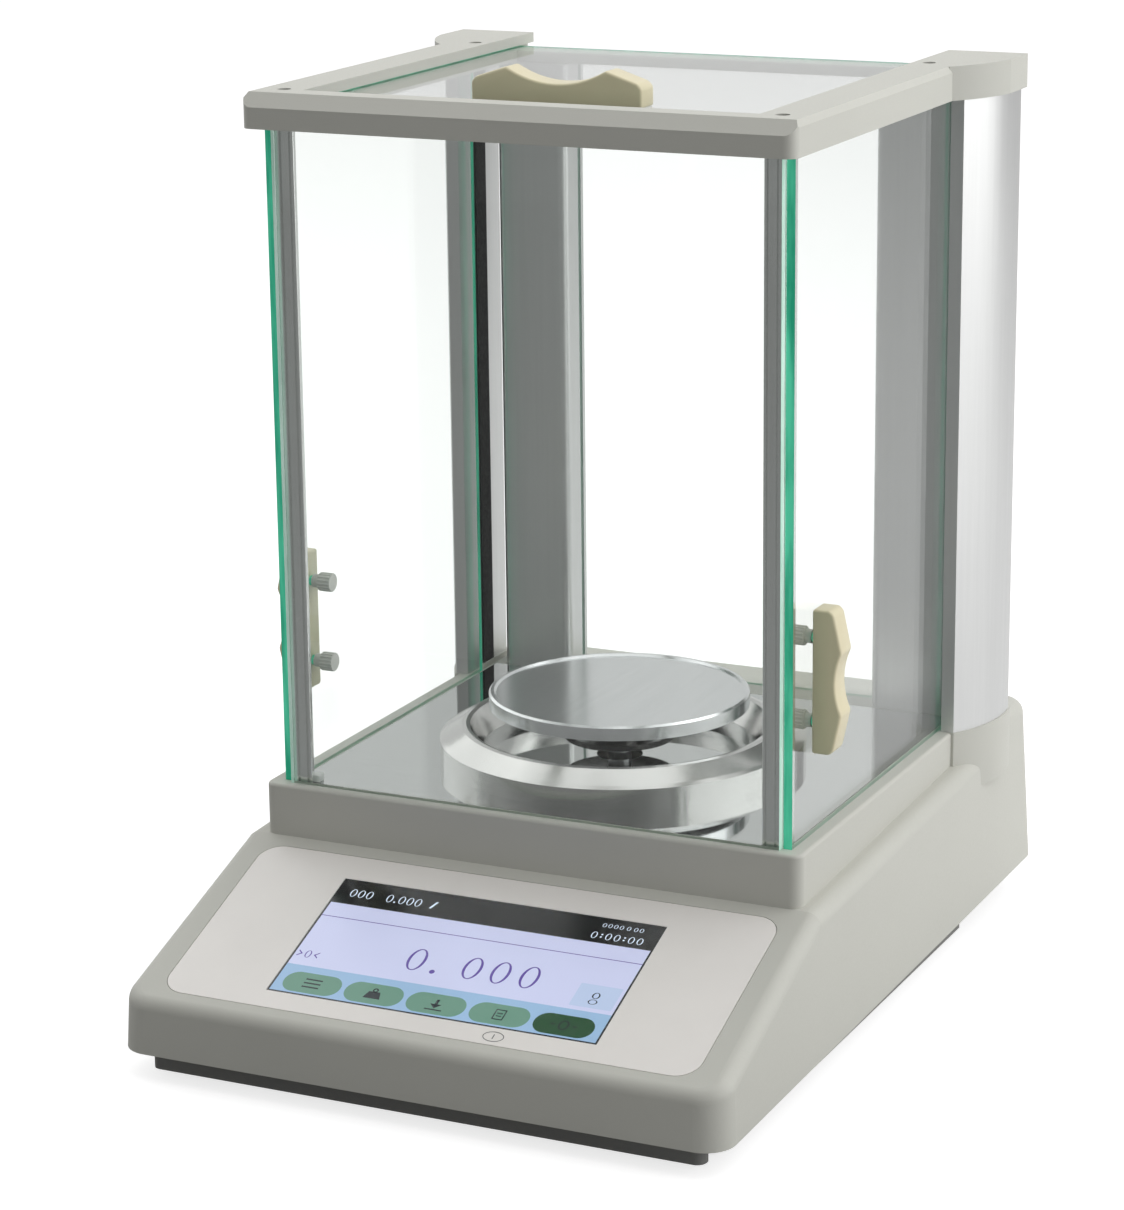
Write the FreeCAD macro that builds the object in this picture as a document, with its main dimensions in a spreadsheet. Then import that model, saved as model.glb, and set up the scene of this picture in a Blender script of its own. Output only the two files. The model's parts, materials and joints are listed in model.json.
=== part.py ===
import FreeCAD, Part
import math
import os
import re
import Sketcher
from FreeCAD import Placement, Rotation, Vector

# Analytical balance with a glass weighing chamber, in millimetres. The origin is the middle of its
# footprint on the bench: X to the right seen from the front, the front faces -Y, Z up.
SIZES = {
    # base cover: side profile, plan and wall
    "base_half_long": 150.0, "cover_half": 106.8, "cover_taper": 2.6, "cover_corner": 10.0,
    "cover_low": 9.0, "cover_low_rear": 12.0, "brow": 27.0, "slope_top": 58.0, "shoulder": 65.0,
    "hump": 72.0, "hump_start": 120.0, "wall": 2.8, "soft_edge": 5.0,
    # plinth that carries the chamber
    "plinth_half": 97.5, "plinth_front": 65.0, "plinth_rear": 118.0, "plinth_top": 76.0,
    "plinth_ceiling": 71.0,
    # sheet panel and screen on the slope, measured up the slope from its foot
    "panel_half": 94.0, "panel_low": 7.5, "panel_high": 85.0, "panel_thick": 0.8,
    "panel_corner": 8.0, "screen_half": 58.4, "screen_low": 15.3, "screen_high": 73.6,
    # underside
    "tray_half": 100.0, "tray_front": 135.0, "tray_rear": 146.0, "tray_low": 2.0,
    "tray_floor": 4.5, "tray_wall": 2.5, "tray_high": 12.0, "bay_inner": 50.0, "bay_front": 84.0,
    "bay_roof": 14.5, "skid_front": 144.0, "skid_rear": 137.0, "skid_half": 95.0,
    "boss_side": 88.0, "boss_front": 100.0, "boss_rear": 60.0, "boss_round": 4.5,
    "pilot_round": 1.5, "hook_round": 6.0,
    # chamber
    "chamber_top": 298.5, "glass": 3.0, "front_pane": 61.5, "door_inner": 89.5,
    "door_front": 59.1, "door_rear": 86.5, "door_low": 74.4, "door_high": 301.4,
    "post_inner": 82.0, "post_front": 58.3, "post_rear": 53.6,
    "column_inner": 58.1, "column_outer": 85.4, "column_front": 97.0, "column_rear": 115.5,
    "dee_inner": 93.6, "dee_outer": 106.8, "dee_front": 79.0, "dee_round": 50.0,
    "dee_middle": 107.0, "metal": 2.0, "web_front": 96.0, "seal": 0.75, "seal_front": 95.0,
    "seal_rear": 103.0, "rear_pane": 108.0,
    # top frame and top door
    "frame_half": 96.0, "frame_front": 69.0, "frame_rear": 116.0, "frame_top": 310.0,
    "bar_rear": 56.0, "arm_inner": 79.5, "bevel": 4.5, "cap_round": 52.0, "cap_outer": 108.0,
    "cap_front": 72.0, "rail_front": 102.0, "rail_top": 302.3,
    "lid_half": 81.5, "lid_front": 57.2, "lid_rear": 107.0, "lid_low": 303.1,
    "post_screw": 86.7, "post_screw_front": 55.6, "arm_screw": 85.2, "arm_screw_rear": 80.0,
    # handles
    "grip_low": 103.5, "grip_high": 151.5, "grip_front": 43.4, "grip_rear": 34.0,
    "grip_out": 10.3, "grip_waist": 7.9, "grip_scallop": 23.3, "nut_low": 113.5,
    "nut_high": 141.5, "nut_round": 2.95, "nut_in": 7.2, "stud_round": 1.5,
    "top_grip_half": 30.0, "top_grip_front": 34.0, "top_grip_rear": 24.0,
    "top_grip_high": 11.6, "top_grip_waist": 6.8, "top_grip_scallop": 32.5,
    "top_grip_crest": 17.5, "top_grip_screw": 18.0,
    # pan and draft ring, on one axis
    "pan_centre": 13.0, "pan_round": 45.0, "pan_top": 99.4, "pan_skirt": 94.4,
    "ring_round": 62.2, "ring_bore": 47.5, "ring_edge": 83.0, "ring_lip": 88.0,
    "ring_crest": 53.0, "sheet": 1.0, "spigot_round": 4.0, "spigot_top": 95.0,
    "hub_round": 19.0, "hub_low": 82.5,
    # weigh cell
    "cell_half": 34.0, "cell_front": 26.0, "cell_rear": 133.0, "cell_low": 8.0,
    "cell_floor": 13.0, "cell_bolt_side": 29.0, "cell_bolt_front": 31.0,
    "cell_bolt_rear": 122.0, "carrier_half": 14.0,
    "carrier_front": 6.0, "carrier_rear": 20.0, "carrier_low": 18.0, "carrier_high": 58.0,
    "guide_low": 20.0, "guide_high": 52.0, "guide_thick": 1.5, "guide_half": 18.0,
    "tower_front": 72.0, "tower_rear": 92.0, "tower_top": 56.0, "lever_low": 38.3,
    "lever_high": 44.0, "lever_half": 5.0, "pivot": 34.0, "motor": 108.0, "motor_round": 17.0,
    "motor_top": 36.0, "coil_round": 10.5, "magnet_round": 6.5, "sensor_half": 8.0,
    "sensor_front": 126.5, "sensor_rear": 132.5, "sensor_low": 30.0, "sensor_high": 50.0,
    # electronics, connectors and level
    "board_inner": 39.0, "board_outer": 79.0, "board_front": 40.0, "board_rear": 78.0,
    "board_low": 9.0, "board_high": 10.6, "stand_inner": 43.0, "stand_outer": 75.0,
    "stand_front": 36.0, "stand_rear": 74.0, "ports_front": 134.0, "ports_rear": 135.6,
    "socket_low": 23.0, "socket_high": 35.0, "jack_side": 46.0, "jack_half": 6.0,
    "jack_nose": 4.4, "port_outer": 60.0, "port_inner": 29.0, "recess": 0.4,
    "level_side": 72.0, "level_back": 133.0, "level_round": 9.0,
    # levelling feet and fixed feet
    "foot_side": 66.0, "foot_back": 118.0, "foot_screw": 4.0, "foot_wheel": 13.0,
    "foot_pad": 11.0, "wheel_low": 4.1, "wheel_high": 9.6, "foot_screw_top": 27.0,
    "notch_round": 0.8, "front_foot_side": 80.0, "front_foot_y": 115.0, "front_foot_round": 8.0,
    "gap": 0.4, "running": 0.08,
}

doc = FreeCAD.newDocument("analytical_balance")
sheet = doc.addObject("Spreadsheet::Sheet", "Sizes")
for row, (alias, value) in enumerate(SIZES.items(), 1):
    sheet.set(f"A{row}", alias)
    sheet.set(f"B{row}", str(value))
    sheet.setAlias(f"B{row}", alias)
doc.recompute()

SLOPE = math.degrees(math.atan2(
    sheet.slope_top - sheet.brow, sheet.base_half_long - sheet.plinth_front))
ON_SLOPE = Placement(Vector(0, -sheet.base_half_long, sheet.brow),
                     Rotation(Vector(1, 0, 0), SLOPE))
TURNS = {"x": Rotation(Vector(0, 1, 0), 90), "y": Rotation(Vector(1, 0, 0), -90),
         "z": Rotation()}


def bind(thing, prop, text):
    """Hold one property to an expression of the sheet's sizes."""
    thing.setExpression(prop, re.sub(r"[a-z]\w*", lambda word: "Sizes." + word.group(), str(text)))


def block(name, x, y, z):
    """A rectangular solid; x, y and z are its (low, high) expressions."""
    solid = doc.addObject("Part::Box", name)
    for prop, axis, (low, high) in zip(("Length", "Width", "Height"), "xyz", (x, y, z)):
        bind(solid, prop, f"({high}) - ({low})")
        bind(solid, f".Placement.Base.{axis}", low)
    return solid


def rod(name, radius, axis, span, centre):
    """A round bar along an axis; centre is its place on the other two axes, in X, Y, Z order."""
    solid = doc.addObject("Part::Cylinder", name)
    solid.Placement.Rotation = TURNS[axis]
    bind(solid, "Radius", radius)
    bind(solid, "Height", f"({span[1]}) - ({span[0]})")
    bind(solid, f".Placement.Base.{axis}", span[0])
    for other, place in zip("xyz".replace(axis, ""), centre):
        bind(solid, f".Placement.Base.{other}", place)
    return solid


def fused(name, *pieces):
    whole = doc.addObject("Part::MultiFuse", name)
    whole.Shapes = list(pieces)
    return whole


def group(name, *pieces):
    """Separate solids that share one sub-part."""
    whole = doc.addObject("Part::Compound", name)
    whole.Links = list(pieces)
    return whole


def cut(name, base, *tools):
    left = doc.addObject("Part::Cut", name)
    left.Base = base
    left.Tool = tools[0] if len(tools) == 1 else fused(name + "_cutters", *tools)
    return left


def common(name, first, second):
    shared = doc.addObject("Part::MultiCommon", name)
    shared.Shapes = [first, second]
    return shared


def mirrored(name, source):
    """The left-hand twin of a right-hand piece."""
    twin = doc.addObject("Part::Mirroring", name)
    twin.Source = source
    twin.Normal = Vector(1, 0, 0)
    return twin


def softened(name, base, radius, wanted):
    """Round every edge of a solid that the test picks."""
    doc.recompute()
    soft = doc.addObject("Part::Fillet", name)
    soft.Base = base
    soft.Edges = [(number, radius, radius)
                  for number, edge in enumerate(base.Shape.Edges, 1) if wanted(edge)]
    return soft


def outline(body, name, plane, points, offset):
    """A closed sketch through the points, each coordinate held to the sheet."""
    sketch = body.newObject("Sketcher::SketchObject", name)
    base_plane = next(item for item in body.Origin.OriginFeatures
                      if item.Role == plane.upper() + "_Plane")
    sketch.AttachmentSupport = [(base_plane, "")]
    sketch.MapMode = "FlatFace"
    bind(sketch, ".AttachmentOffset.Base.z", offset)
    count = len(points)
    start = [Vector(math.cos(math.tau * turn / count), math.sin(math.tau * turn / count), 0)
             for turn in range(count)]
    sketch.addGeometry([Part.LineSegment(start[turn], start[(turn + 1) % count])
                        for turn in range(count)], False)
    for turn in range(count):
        sketch.addConstraint(Sketcher.Constraint("Coincident", turn, 2, (turn + 1) % count, 1))
    for turn, place in enumerate(points):
        for kind, text in zip(("DistanceX", "DistanceY"), place):
            number = sketch.addConstraint(Sketcher.Constraint(kind, -1, 1, turn, 1, 1.0))
            bind(sketch, f"Constraints[{number}]", text)
    return sketch


def slab(name, plane, points, low, high, taper="0"):
    """A straight body of any outline; low and high are along the plane's own axis."""
    body = doc.addObject("PartDesign::Body", name)
    offset = f"-({high})" if plane == "xz" else low
    pad = body.newObject("PartDesign::Pad", name + "_pad")
    pad.Profile = outline(body, name + "_sketch", plane, points, offset)
    bind(pad, "Length", f"({high}) - ({low})")
    bind(pad, "TaperAngle", taper)
    body.Tip = pad
    return body


def turned(name, points, centre):
    """A turned piece: points are (radius, height), the axis is vertical through the centre."""
    body = doc.addObject("PartDesign::Body", name)
    spin = body.newObject("PartDesign::Revolution", name + "_spin")
    sketch = outline(body, name + "_sketch", "xz", points, "0")
    spin.Profile = sketch
    spin.ReferenceAxis = (sketch, ["V_Axis"])
    spin.Angle = 360
    body.Tip = spin
    for axis, place in zip("xy", centre):
        bind(body, f".Placement.Base.{axis}", place)
    return body


def dressed(body, kind, name, size, wanted):
    """Add a fillet or chamfer feature to a body on the edges that the test picks."""
    doc.recompute()
    last = body.Tip
    feature = body.newObject("PartDesign::" + kind, name)
    feature.Base = (last, [f"Edge{number}" for number, edge in enumerate(last.Shape.Edges, 1)
                           if wanted(edge)])
    bind(feature, "Radius" if kind == "Fillet" else "Size", size)
    body.Tip = feature
    return feature


def upright(edge):
    ends = edge.Vertexes
    return len(ends) == 2 and (ends[0].Point - ends[1].Point).cross(Vector(0, 0, 1)).Length < 8 \
        and abs(ends[0].Z - ends[1].Z) > 0.5


def strictly_upright(edge):
    ends = edge.Vertexes
    return len(ends) == 2 and (ends[0].Point - ends[1].Point).cross(Vector(0, 0, 1)).Length < 0.01


def rectangle(x, y):
    return [(x[0], y[0]), (x[1], y[0]), (x[1], y[1]), (x[0], y[1])]


# base cover and underside

def dee(name, inner, outer, front, rear, radius, z):
    """The D-shaped plan of a rear column and of what meets it."""
    square = block(name + "_square", (inner, outer), (front, rear), z)
    curve = rod(name + "_curve", radius, "z", z, ("dee_outer - dee_round", "dee_middle"))
    return common(name, square, curve)


def tapered(name, half, half_long, low, high, corner):
    """A block with rounded corners whose walls lean inwards."""
    body = slab(name, "xy", rectangle((f"-({half})", half), (f"-({half_long})", half_long)),
                low, high, "-cover_taper")
    dressed(body, "Fillet", name + "_corners", corner, upright)
    return body


def upper_housing():
    profile = [("-base_half_long - 1", "cover_low"), ("-base_half_long - 1", "brow"),
               ("-base_half_long", "brow"), ("-plinth_front", "slope_top"),
               ("hump_start - 12", "shoulder"), ("hump_start", "hump"),
               ("base_half_long + 1", "hump"), ("base_half_long + 1", "cover_low_rear")]
    sides = slab("cover_profile", "yz", profile, "-cover_half - 10", "cover_half + 10")
    shell = common("cover_block", tapered("cover_plan", "cover_half", "base_half_long",
                                          "cover_low", "hump + 10", "cover_corner"), sides)
    soft = softened("cover_soft", shell, float(sheet.soft_edge), top_edge)
    plinth = slab("plinth", "xy", rectangle(("-plinth_half", "plinth_half"),
                                            ("-plinth_front", "plinth_rear")),
                  "shoulder - 25", "plinth_top")
    dressed(plinth, "Fillet", "plinth_corners", "4", strictly_upright)
    dressed(plinth, "Fillet", "plinth_edge", "1.2",
            lambda edge: edge.BoundBox.ZMin > sheet.plinth_top - 0.01)
    neck = dee("neck", "plinth_half - 10", "dee_outer + 0.5", "dee_front - 0.5",
               "plinth_rear", "dee_round + 0.5", ("slope_top - 4", "plinth_top"))
    outside = fused("cover_outside", soft, plinth, neck, mirrored("neck_left", neck))
    inner_profile = [("-base_half_long + wall", "0"), ("-base_half_long + wall", "brow - 2"),
                     ("-plinth_front + 1", "slope_top - wall"),
                     ("hump_start - 11", "shoulder - wall"),
                     ("hump_start + 1", "hump - wall"), ("base_half_long - wall", "hump - wall"),
                     ("base_half_long - wall", "0")]
    inner_sides = slab("cavity_profile", "yz", inner_profile, "-cover_half", "cover_half")
    cavity = common("cavity", tapered("cavity_plan", "cover_half - wall",
                                      "base_half_long - wall", "0", "hump + 5",
                                      "cover_corner - wall"), inner_sides)
    under_plinth = block("plinth_cavity", ("-plinth_half + wall", "plinth_half - wall"),
                         ("-plinth_front + wall", "plinth_rear - wall"),
                         ("slope_top - 10", "plinth_ceiling"))
    bosses = [rod(f"boss_{number}", "boss_round", "z", ("tray_floor", top), (side, place))
              for number, (side, place, top) in enumerate(boss_places())]
    hollow = cut("cover_shell", outside, cut("cavity_left", fused("cavity_all", cavity,
                                                                  under_plinth), *bosses))
    tracks = [block(f"track_{side}", (low, high), ("-door_front - gap", "plinth_rear + 1"),
                    ("door_low - gap", "plinth_top + 1"))
              for side, low, high in (
                  ("right", "door_inner - gap", "door_inner + glass"),
                  ("left", "-door_inner - glass", "-door_inner + gap"))]
    pane_track = block("track_front", ("-door_inner + gap", "door_inner - gap"),
                       ("-front_pane - 0.1", "-front_pane + glass + 0.1"),
                       ("plinth_top - 1.6", "plinth_top + 1"))
    plate_seat = block("plate_seat", ("-door_inner + 0.8", "door_inner - 0.8"),
                       ("-front_pane + glass + 0.5", "column_front - 0.2"),
                       ("plinth_top - 1.2", "plinth_top + 1"))
    spigot_way = rod("spigot_way", "spigot_round * 2", "z", ("plinth_ceiling - 1", "plinth_top"),
                     ("0", "pan_centre"))
    panel_seat = on_slope("panel_seat", "panel_half + 0.25", ("panel_low - 0.25",
                          "panel_high + 0.25"), ("-panel_thick", "6"), "panel_corner + 0.25")
    window = on_slope("screen_way", "screen_half + 1", ("screen_low - 1", "screen_high + 1"),
                      ("-7", "5"))
    level_way = rod("level_way", "level_round + 0.1", "z", ("hump - 8", "hump + 1"),
                    ("level_side", "level_back"))
    jack_way = rod("jack_way", "jack_nose + 0.2", "y", ("base_half_long - 6",
                   "base_half_long + 2"), ("jack_side", "(socket_low + socket_high) / 2"))
    port_way = block("port_way", ("-port_outer - 0.2", "-port_inner + 0.2"),
                     ("base_half_long - 6", "base_half_long + 2"),
                     ("socket_low - 0.2", "socket_high + 0.2"))
    pilots = [rod(f"pilot_{number}", "pilot_round", "z", ("tray_floor - 1", "17"), (side, place))
              for number, (side, place, top) in enumerate(boss_places())]
    return cut("upper_housing", hollow, *tracks, pane_track, plate_seat, spigot_way, panel_seat,
               window, level_way, jack_way, port_way, *pilots)


def top_edge(edge):
    """The edges round the top of the cover, where its sides meet the slope and the shoulder."""
    box = edge.BoundBox
    across = box.XLength > 190 and abs(box.YMin) < sheet.base_half_long - 2
    return box.ZMin > sheet.brow - 1.5 and not across


def boss_places():
    """Where the cover is screwed to the tray: x, y and how high its boss reaches."""
    return [(f"{sign}boss_side", place, top) for sign in ("-", "")
            for place, top in (("-boss_front", "slope_top"), ("boss_rear", "plinth_ceiling + 1"))]


def on_slope(name, half, along, deep, corner=None):
    """A slab that lies on the slope: along runs up it, deep is measured out of its surface."""
    body = slab(name, "xy", rectangle((f"-({half})", half), along), *deep)
    if corner:
        dressed(body, "Fillet", name + "_corners", corner, strictly_upright)
    body.Placement = ON_SLOPE
    return body


def bottom_tray():
    shell = slab("tray_block", "xy", rectangle(("-tray_half", "tray_half"),
                                               ("-tray_front", "tray_rear")),
                 "tray_low", "tray_high")
    dressed(shell, "Fillet", "tray_corners", "10", strictly_upright)
    inside = block("tray_inside", ("-tray_half + tray_wall", "tray_half - tray_wall"),
                   ("-tray_front + tray_wall", "tray_rear - tray_wall"),
                   ("tray_floor", "tray_high + 1"))
    bays = [block(f"bay_{side}", x, ("bay_front", "tray_rear + 1"), ("tray_low - 1", "bay_roof"))
            for side, x in (("right", ("bay_inner", "tray_half + 1")),
                            ("left", ("-tray_half - 1", "-bay_inner")))]
    roofs = [block(f"bay_shell_{side}", x, ("bay_front - tray_wall", "tray_rear - 1"),
                   ("tray_low", "bay_roof"))
             for side, x in (("right", ("bay_inner - tray_wall", "tray_half - 1")),
                             ("left", ("-tray_half + 1", "-bay_inner + tray_wall")))]
    hollows = [block(f"bay_hollow_{side}", x, ("bay_front", "tray_rear + 1"),
                     ("tray_low - 1", "bay_roof - tray_wall"))
               for side, x in (("right", ("bay_inner", "tray_half + 1")),
                               ("left", ("-tray_half - 1", "-bay_inner")))]
    pillars = [rod(f"pillar_{number}", "5", "z", ("tray_low", "cell_low"), place)
               for number, place in enumerate(cell_corners())]
    stands = [rod(f"stand_{number}", "3", "z", ("tray_low", "board_low"), place)
              for number, place in enumerate(board_corners())]
    whole = fused("tray_whole", cut("tray_open", shell, inside, *bays), *roofs, *pillars, *stands)
    ways = [rod(f"foot_way_{side}", "7", "z", ("tray_low - 1", "bay_roof + 1"), (x, "foot_back"))
            for side, x in (("right", "foot_side"), ("left", "-foot_side"))]
    ways += [rod(f"front_foot_way_{side}", "4", "z", ("tray_low - 1", "tray_floor + 1"),
                 (x, "-front_foot_y"))
             for side, x in (("right", "front_foot_side"), ("left", "-front_foot_side"))]
    for number, (side, place, top) in enumerate(boss_places()):
        ways.append(rod(f"screw_way_{number}", "1.7", "z", ("tray_low - 1", "tray_floor + 1"),
                        (side, place)))
        ways.append(rod(f"screw_sink_{number}", "3.4", "z", ("tray_low - 1", "tray_low + 1.4"),
                        (side, place)))
    ways += [rod(f"cell_way_{number}", "2", "z", ("tray_low + 1", "cell_low + 1"), place)
             for number, place in enumerate(cell_corners())]
    ways.append(rod("hook_way", "hook_round", "z", ("tray_low - 1", "tray_floor + 1"), ("0", "pan_centre")))
    return cut("bottom_tray", whole, *hollows, *ways)


def cell_corners():
    return [(f"{sign}cell_bolt_side", place) for sign in ("-", "")
            for place in ("cell_bolt_front", "cell_bolt_rear")]


def board_corners():
    return [(x, y) for x in ("stand_inner", "stand_outer") for y in ("-stand_front", "stand_rear")]


def front_skid():
    strip = slab("skid_strip", "xy", rectangle(("-plinth_half", "plinth_half"),
                                               ("-skid_front", "-skid_rear")),
                 "tray_low", "cover_low")
    dressed(strip, "Fillet", "skid_ends", "3.2", strictly_upright)
    flange = block("skid_flange", ("-skid_half", "skid_half"),
                   ("-base_half_long + wall + 1.2", "-tray_front"), ("cover_low", "cover_low + 3"))
    return fused("front_skid", strip, flange)


# display

def panel_overlay():
    sheet_stock = on_slope("panel_sheet", "panel_half", ("panel_low", "panel_high"),
                           ("-panel_thick", "0"), "panel_corner")
    window = on_slope("panel_window", "screen_half", ("screen_low", "screen_high"), ("-3", "3"))
    return cut("panel_overlay", sheet_stock, window)


def display_stack():
    pane = on_slope("display_lens", "screen_half - 0.1", ("screen_low + 0.1",
                    "screen_high - 0.1"), ("-1.2", "-0.15"))
    module = on_slope("lcd_module", "screen_half + 0.6", ("screen_low - 0.6",
                      "screen_high + 0.6"), ("-6.2", "-1.2"))
    board = on_slope("display_board", "screen_half + 8", ("screen_low - 5", "screen_high + 5"),
                     ("-7.8", "-6.2"))
    return [pane, module, board]


def ribbon():
    """A flat cable from the display board to the main board, in three straight runs."""
    path = [("-73.2", "47.2"), ("-73.2", "board_high + 0.3"),
            ("-board_front + 2", "board_high + 0.3"), ("-board_front + 2", "board_high"),
            ("-73.5", "board_high"), ("-73.5", "47.2")]
    return slab("ribbon", "yz", path, "48", "70")


# chamber

def floor_plate():
    stock = block("floor_stock", ("-door_inner + 1", "door_inner - 1"),
                  ("-front_pane + glass + 0.7", "column_front - 0.4"),
                  ("plinth_top - 1.2", "plinth_top"))
    hole = rod("floor_hole", "spigot_round * 2", "z", ("plinth_top - 3", "plinth_top + 3"),
               ("0", "pan_centre"))
    return cut("floor_plate", stock, hole)


def panes():
    front = block("front_glass", ("-door_inner + 0.6", "door_inner - 0.6"),
                  ("-front_pane", "-front_pane + glass"),
                  ("plinth_top - 1.6", "chamber_top + 1.6"))
    rear = block("rear_glass", ("-column_inner - 2", "column_inner + 2"),
                 ("rear_pane", "rear_pane + glass"), ("plinth_top", "chamber_top"))
    return [front, rear]


def front_post():
    shape = [("post_inner", "-post_front"), ("post_inner + 7.2", "-post_front"),
             ("post_inner + 7.2", "-post_rear"), ("post_inner + 2.2", "-post_rear"),
             ("post_inner + 2.2", "-post_front + 2"), ("post_inner", "-post_front + 2")]
    bar = slab("post_bar", "xy", shape, "plinth_top", "chamber_top")
    dressed(bar, "Fillet", "post_rounding", "0.5", strictly_upright)
    lines = [block(f"post_line_{number}", (low, high), ("-post_front - 1", "-post_front + 0.7"),
                   ("plinth_top - 1", "chamber_top + 1"))
             for number, (low, high) in enumerate((("post_inner + 1", "post_inner + 1.7"),
                                                   ("post_inner + 4.4", "post_inner + 5.2")))]
    screw_bore = rod("post_bore", "1.4", "z", ("chamber_top - 14", "chamber_top + 1"),
                     ("post_screw", "-post_screw_front"))
    return cut("front_post_right", bar, *lines, screw_bore)


def inner_column():
    outer = block("inner_stock", ("column_inner", "column_outer"), ("column_front",
                  "column_rear"), ("plinth_top", "chamber_top"))
    soft = softened("inner_soft", outer, 3.0, strictly_upright)
    hollow = block("inner_hollow", ("column_inner + 5", "column_outer - metal"),
                   ("column_front + metal", "column_rear - metal"),
                   ("plinth_top - 1", "chamber_top + 1"))
    slot = block("pane_slot", ("column_inner - 1", "column_inner + 2.3"),
                 ("rear_pane - 0.2", "rear_pane + glass + 0.2"),
                 ("plinth_top - 1", "chamber_top + 1"))
    return cut("inner_column_right", soft, hollow, slot)


def outer_column():
    span = ("plinth_top", "chamber_top")
    outer = dee("dee_stock", "dee_inner", "dee_outer", "dee_front", "column_rear", "dee_round",
                span)
    inner = dee("dee_hollow", "dee_inner + metal", "dee_outer - metal", "dee_front + metal",
                "column_rear - metal", "dee_round - metal",
                ("plinth_top - 1", "chamber_top + 1"))
    web = block("dee_web", ("dee_inner", "dee_outer"), ("web_front", "web_front + metal"),
                ("plinth_top - 2", "chamber_top + 2"))
    return cut("outer_column_right", outer, cut("dee_cells", inner, web))


def column_seal():
    return block("column_seal_right", ("dee_inner - seal", "dee_inner"),
                 ("seal_front", "seal_rear"), ("plinth_top", "chamber_top"))


def top_frame():
    shape = [("-frame_half", "-frame_front"), ("frame_half", "-frame_front"),
             ("frame_half", "frame_rear"), ("arm_inner", "frame_rear"),
             ("arm_inner", "-bar_rear"), ("-arm_inner", "-bar_rear"),
             ("-arm_inner", "frame_rear"), ("-frame_half", "frame_rear")]
    rim = slab("frame_rim", "xy", shape, "chamber_top", "frame_top")
    dressed(rim, "Fillet", "frame_corners", "4",
            lambda edge: strictly_upright(edge) and edge.BoundBox.YMax < -sheet.bar_rear - 5)
    bevel = slab("frame_bevel", "yz", [("-frame_front - 2", "frame_top - bevel"),
                                       ("-frame_front", "frame_top - bevel"),
                                       ("-frame_front + bevel", "frame_top"),
                                       ("-frame_front + bevel", "frame_top + 2"),
                                       ("-frame_front - 2", "frame_top + 2")],
                 "-frame_half - 1", "frame_half + 1")
    side_bevel = slab("frame_side_bevel", "xz", [("frame_half + 1", "frame_top - 2.2"),
                                                 ("frame_half", "frame_top - 2.2"),
                                                 ("frame_half - 1.2", "frame_top"),
                                                 ("frame_half - 1.2", "frame_top + 1"),
                                                 ("frame_half + 1", "frame_top + 1")],
                      "-frame_front - 1", "cap_front + 4")
    cleared = cut("frame_bevelled", rim, bevel, side_bevel,
                  mirrored("frame_left_bevel", side_bevel))
    cap = dee("cap", "arm_inner", "cap_outer", "cap_front", "frame_rear", "cap_round",
              ("chamber_top", "frame_top"))
    rail = block("frame_rail", ("-frame_half", "frame_half"), ("rail_front", "frame_rear"),
                 ("chamber_top", "rail_top"))
    whole = fused("frame_whole", cleared, cap, mirrored("cap_left", cap), rail)
    door_ways = [block(f"door_way_{side}", x, ("-door_front - gap", "frame_rear + 1"),
                       ("chamber_top - 1", "door_high + gap"))
                 for side, x in (("right", ("door_inner - gap", "door_inner + glass + 0.3")),
                                 ("left", ("-door_inner - glass - 0.3", "-door_inner + gap")))]
    lid_way = block("lid_way", ("-lid_half - gap", "lid_half + gap"),
                    ("-lid_front - gap", "frame_rear + 1"),
                    ("lid_low - gap", "lid_low + glass + gap"))
    pane_way = block("pane_way", ("-door_inner + 0.5", "door_inner - 0.5"),
                     ("-front_pane - 0.1", "-front_pane + glass + 0.1"),
                     ("chamber_top - 1", "chamber_top + 1.6"))
    sinks = [rod(f"frame_sink_{number}", "2.35", "z", ("frame_top - 3", "frame_top + 1"), place)
             for number, place in enumerate(frame_screw_places())]
    sinks += [rod(f"frame_bore_{number}", "1.5", "z", ("chamber_top - 1", "frame_top"), place)
              for number, place in enumerate(frame_screw_places())]
    return cut("top_frame", whole, *door_ways, lid_way, pane_way, *sinks)


def frame_screw_places():
    return [(f"{sign}{x}", y) for sign in ("-", "")
            for x, y in (("post_screw", "-post_screw_front"), ("arm_screw", "arm_screw_rear"))]


def frame_screws():
    screws = []
    for number, place in enumerate(frame_screw_places()):
        head = rod(f"frame_head_{number}", "2.2", "z", ("frame_top - 3", "frame_top - 1"), place)
        low = "chamber_top - 9" if number % 2 == 0 else "chamber_top + 0.5"
        shank = rod(f"frame_shank_{number}", "1.35", "z", (low, "frame_top - 2"), place)
        socket = slab_slot(f"frame_cross_{number}", place, ("frame_top - 1.9", "frame_top"))
        screws.append(cut(f"frame_screw_{number}", fused(f"frame_bolt_{number}", head, shank),
                          *socket))
    return group("frame_screws", *screws)


def slab_slot(name, place, z):
    """The two crossed slots of a screw's drive."""
    x, y = place
    return [block(name + "_a", (f"{x} - 1.3", f"{x} + 1.3"), (f"{y} - 0.25", f"{y} + 0.25"), z),
            block(name + "_b", (f"{x} - 0.25", f"{x} + 0.25"), (f"{y} - 1.3", f"{y} + 1.3"), z)]


# doors

def door_glass():
    pane = block("door_pane", ("door_inner", "door_inner + glass - 0.1"),
                 ("-door_front", "door_rear"), ("door_low", "door_high"))
    holes = [rod(f"door_hole_{number}", "1.7", "x", ("door_inner - 1", "door_inner + glass + 1"),
                 ("-grip_front + 4", height))
             for number, height in enumerate(("nut_low", "nut_high"))]
    return cut("door_glass_right", pane, *holes)


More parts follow.
